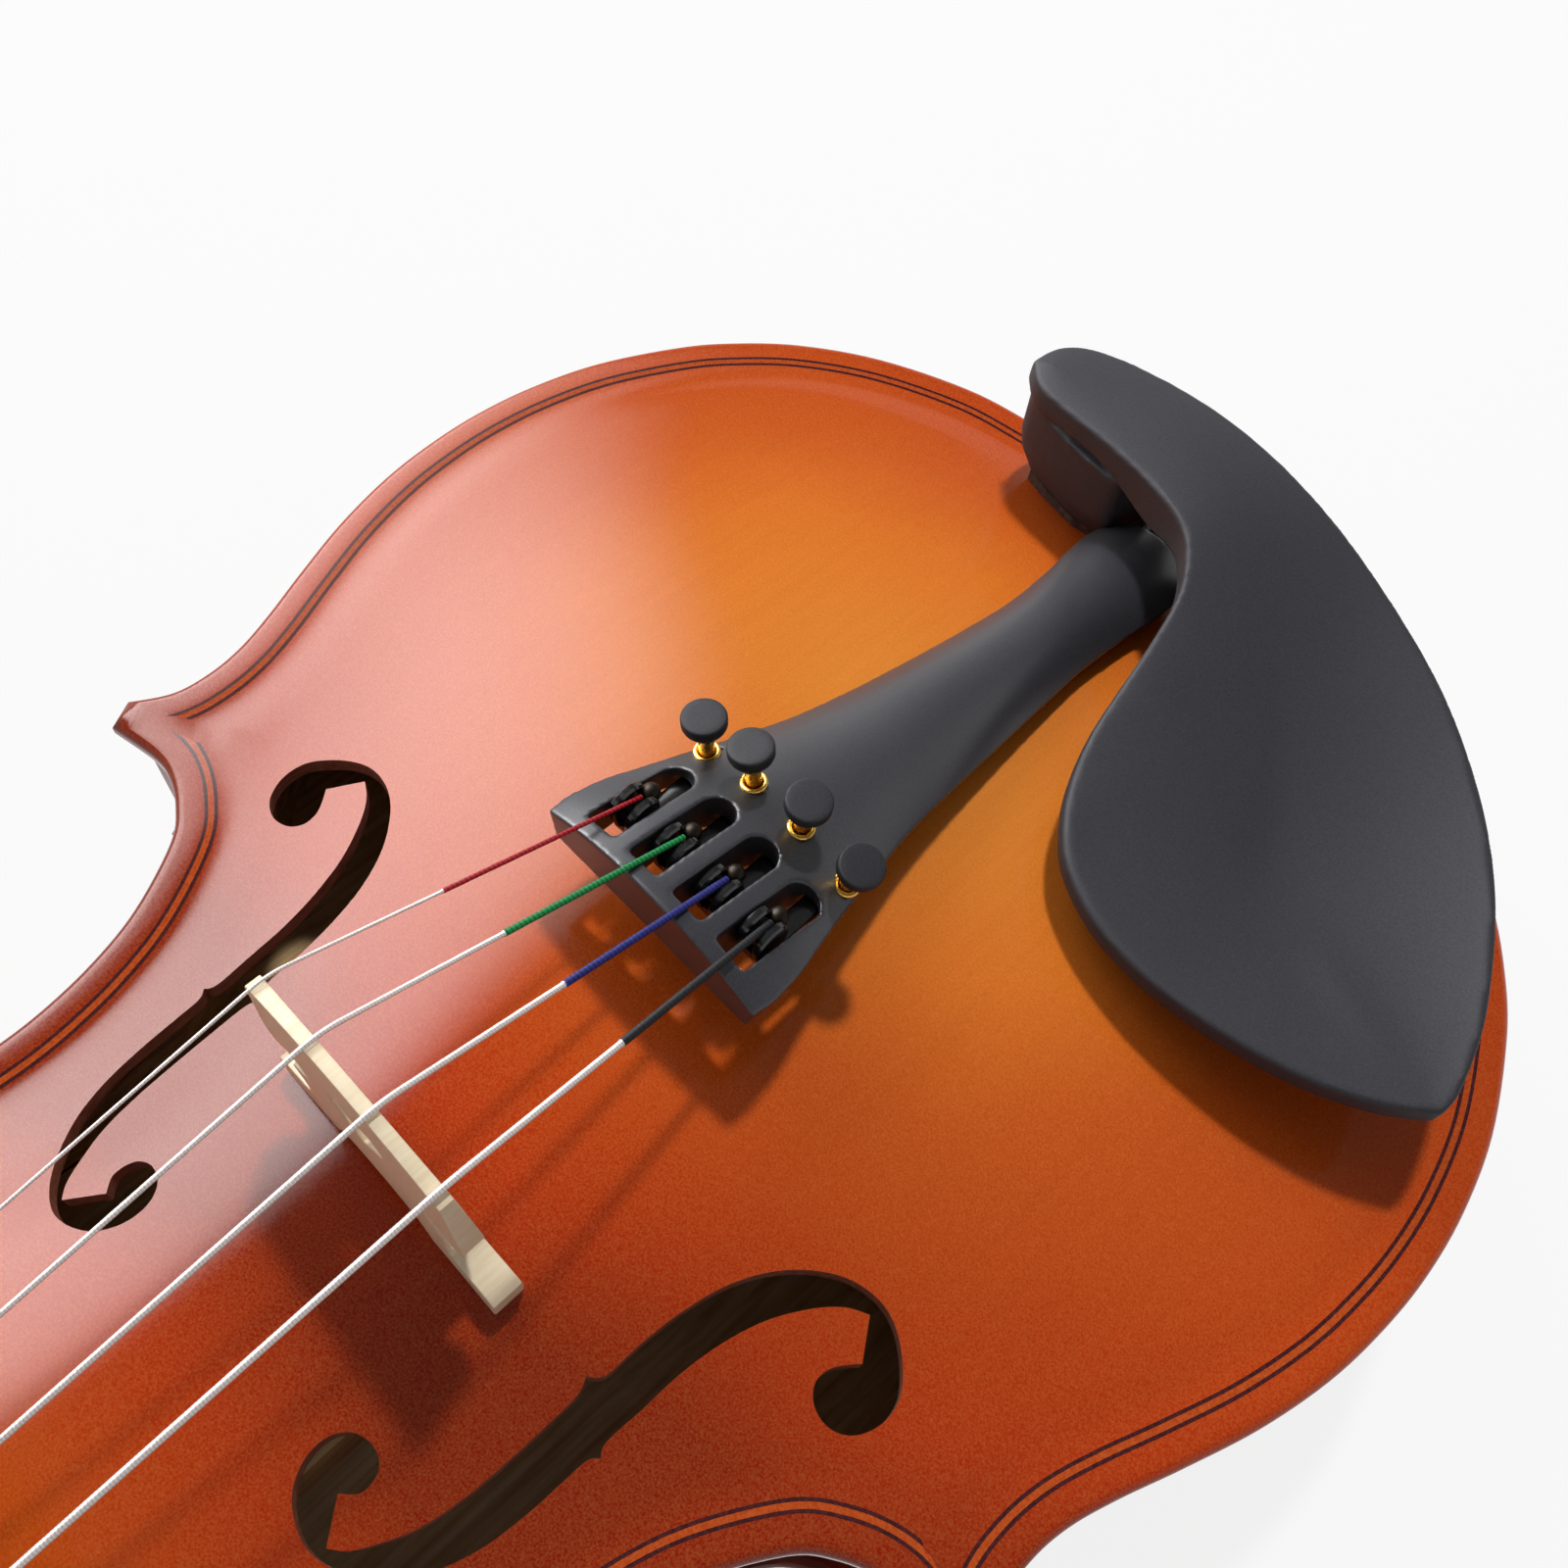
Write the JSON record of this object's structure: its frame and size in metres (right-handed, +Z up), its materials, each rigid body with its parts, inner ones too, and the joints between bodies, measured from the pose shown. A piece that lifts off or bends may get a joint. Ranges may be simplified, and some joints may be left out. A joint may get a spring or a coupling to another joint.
{
  "type": "violin",
  "caption": "Violin with an arched sound box, neck and scroll, strings on turning pegs, a tailpiece with screw-driven fine tuners and a clamped chin rest.",
  "frame": {"origin": "lowest point of the arched back, straight below the bridge, on its small flat", "axes": "+X to the treble side, +Y to the scroll, +Z up through the belly"},
  "size_m": [0.2048, 0.6099, 0.1013],
  "materials": {
    "varnished_spruce": "glossy sunburst varnish",
    "varnished_maple": "glossy red-brown varnish",
    "bare_spruce": "bare",
    "bare_maple": "bare",
    "ebony": "polished",
    "tailpiece_plastic": "matte charcoal",
    "chin_rest_plastic": "matte charcoal",
    "lever_black": "black",
    "brass": "polished",
    "nickel": "polished",
    "string_wire": "wound wire",
    "tailgut_nylon": "smooth",
    "cork": "cork sheet"
  },
  "bodies": {
    "violin": {"top_plate": "varnished_spruce", "back_plate": "varnished_maple", "lower_rib": "varnished_maple", "c_rib_treble": "varnished_maple", "c_rib_bass": "varnished_maple", "upper_rib_treble": "varnished_maple", "upper_rib_bass": "varnished_maple", "corner_block_lower_treble": "bare_spruce", "corner_block_lower_bass": "bare_spruce", "corner_block_upper_treble": "bare_spruce", "corner_block_upper_bass": "bare_spruce", "bottom_block": "bare_spruce", "top_block": "bare_spruce", "bass_bar": "bare_spruce", "sound_post": "bare_spruce", "fingerboard": "ebony", "nut": "ebony", "neck": "varnished_maple", "bridge": "bare_maple", "tailpiece": "tailpiece_plastic", "tuner_pivot_rod": "nickel", "saddle": "ebony", "end_button": "ebony", "tailgut": "tailgut_nylon", "chin_rest": "chin_rest_plastic", "chin_rest_cork_treble": "cork", "chin_rest_cork_bass": "cork", "clamp_upper_bracket": "nickel", "g_string": "string_wire", "d_string": "string_wire", "a_string": "string_wire", "e_string": "string_wire"},
    "g_peg": {"g_peg": "ebony", "g_string_winding": "string_wire"},
    "d_peg": {"d_peg": "ebony", "d_string_winding": "string_wire"},
    "a_peg": {"a_peg": "ebony", "a_string_winding": "string_wire"},
    "e_peg": {"e_peg": "ebony", "e_string_winding": "string_wire"},
    "g_tuner_screw": {"g_tuner_screw": "brass"},
    "g_tuner_knob": {"g_tuner_knob": "tailpiece_plastic"},
    "g_tuner_lever": {"g_tuner_lever": "lever_black", "g_ball_end": "brass"},
    "d_tuner_screw": {"d_tuner_screw": "brass"},
    "d_tuner_knob": {"d_tuner_knob": "tailpiece_plastic"},
    "d_tuner_lever": {"d_tuner_lever": "lever_black", "d_ball_end": "brass"},
    "a_tuner_screw": {"a_tuner_screw": "brass"},
    "a_tuner_knob": {"a_tuner_knob": "tailpiece_plastic"},
    "a_tuner_lever": {"a_tuner_lever": "lever_black", "a_ball_end": "brass"},
    "e_tuner_screw": {"e_tuner_screw": "brass"},
    "e_tuner_knob": {"e_tuner_knob": "tailpiece_plastic"},
    "e_tuner_lever": {"e_tuner_lever": "lever_black", "e_ball_end": "brass"},
    "clamp_lower": {"clamp_lower_bracket": "nickel", "clamp_cork": "cork"},
    "clamp_barrel_bass": {"clamp_barrel_bass": "nickel"},
    "clamp_barrel_treble": {"clamp_barrel_treble": "nickel"}
  },
  "joints": [
    {"name": "g_peg_turn", "type": "hinge", "parent": "violin", "child": "g_peg", "pos_m": [0, 0.33931, 0.02824], "axis": [1, 0, 0], "continuous": true},
    {"name": "d_peg_turn", "type": "hinge", "parent": "violin", "child": "d_peg", "pos_m": [0, 0.36902, 0.02407], "axis": [1, 0, 0], "continuous": true},
    {"name": "a_peg_turn", "type": "hinge", "parent": "violin", "child": "a_peg", "pos_m": [0, 0.38387, 0.02198], "axis": [1, 0, 0], "continuous": true},
    {"name": "e_peg_turn", "type": "hinge", "parent": "violin", "child": "e_peg", "pos_m": [0, 0.35416, 0.02615], "axis": [1, 0, 0], "continuous": true},
    {"name": "g_screw_travel", "type": "slide", "parent": "violin", "child": "g_tuner_screw", "axis": [0.1908, 0, -0.9816], "range_m": [0, 0.002]},
    {"name": "g_knob_turn", "type": "hinge", "parent": "g_tuner_screw", "child": "g_tuner_knob", "pos_m": [-0.01344, -0.064, 0.07548], "axis": [0.1908, 0, -0.9816], "range_deg": [0, 1440]},
    {"name": "g_lever_tilt", "type": "hinge", "parent": "violin", "child": "g_tuner_lever", "pos_m": [-0.012, -0.0496, 0.0748], "axis": [1, 0, 0], "range_deg": [0, 7.96]},
    {"name": "d_screw_travel", "type": "slide", "parent": "violin", "child": "d_tuner_screw", "axis": [0.0523, 0, -0.9986], "range_m": [0, 0.002]},
    {"name": "d_knob_turn", "type": "hinge", "parent": "d_tuner_screw", "child": "d_tuner_knob", "pos_m": [-0.00448, -0.064, 0.07874], "axis": [0.0523, 0, -0.9986], "range_deg": [0, 1440]},
    {"name": "d_lever_tilt", "type": "hinge", "parent": "violin", "child": "d_tuner_lever", "pos_m": [-0.004, -0.0496, 0.0748], "axis": [1, 0, 0], "range_deg": [0, 7.96]},
    {"name": "a_screw_travel", "type": "slide", "parent": "violin", "child": "a_tuner_screw", "axis": [-0.1736, 0, -0.9848], "range_m": [0, 0.002]},
    {"name": "a_knob_turn", "type": "hinge", "parent": "a_tuner_screw", "child": "a_tuner_knob", "pos_m": [0.00448, -0.064, 0.07874], "axis": [-0.1736, 0, -0.9848], "range_deg": [0, 1440]},
    {"name": "a_lever_tilt", "type": "hinge", "parent": "violin", "child": "a_tuner_lever", "pos_m": [0.004, -0.0496, 0.0748], "axis": [1, 0, 0], "range_deg": [0, 7.96]},
    {"name": "e_screw_travel", "type": "slide", "parent": "violin", "child": "e_tuner_screw", "axis": [-0.1392, 0, -0.9903], "range_m": [0, 0.002]},
    {"name": "e_knob_turn", "type": "hinge", "parent": "e_tuner_screw", "child": "e_tuner_knob", "pos_m": [0.01344, -0.064, 0.07548], "axis": [-0.1392, 0, -0.9903], "range_deg": [0, 1440]},
    {"name": "e_lever_tilt", "type": "hinge", "parent": "violin", "child": "e_tuner_lever", "pos_m": [0.012, -0.0496, 0.0748], "axis": [1, 0, 0], "range_deg": [0, 7.96]},
    {"name": "bass_barrel_turn", "type": "hinge", "parent": "violin", "child": "clamp_barrel_bass", "pos_m": [-0.021, -0.1786, 0.0305], "axis": [0, 0, 1], "range_deg": [0, 720]},
    {"name": "treble_barrel_turn", "type": "hinge", "parent": "violin", "child": "clamp_barrel_treble", "pos_m": [0.021, -0.1786, 0.0305], "axis": [0, 0, 1], "range_deg": [0, 720]},
    {"name": "clamp_open", "type": "slide", "parent": "violin", "child": "clamp_lower", "axis": [0, 0, -1], "range_m": [0, 0.002]}
  ],
  "couplings": [
    {"joint": "g_knob_turn", "follows": "g_screw_travel", "rad_per_m": 12566},
    {"joint": "g_lever_tilt", "follows": "g_screw_travel", "rad_per_m": 69.44},
    {"joint": "d_knob_turn", "follows": "d_screw_travel", "rad_per_m": 12566},
    {"joint": "d_lever_tilt", "follows": "d_screw_travel", "rad_per_m": 69.44},
    {"joint": "a_knob_turn", "follows": "a_screw_travel", "rad_per_m": 12566},
    {"joint": "a_lever_tilt", "follows": "a_screw_travel", "rad_per_m": 69.44},
    {"joint": "e_knob_turn", "follows": "e_screw_travel", "rad_per_m": 12566},
    {"joint": "e_lever_tilt", "follows": "e_screw_travel", "rad_per_m": 69.44},
    {"joint": "bass_barrel_turn", "follows": "clamp_open", "rad_per_m": 6283.2},
    {"joint": "treble_barrel_turn", "follows": "clamp_open", "rad_per_m": 6283.2}
  ]
}
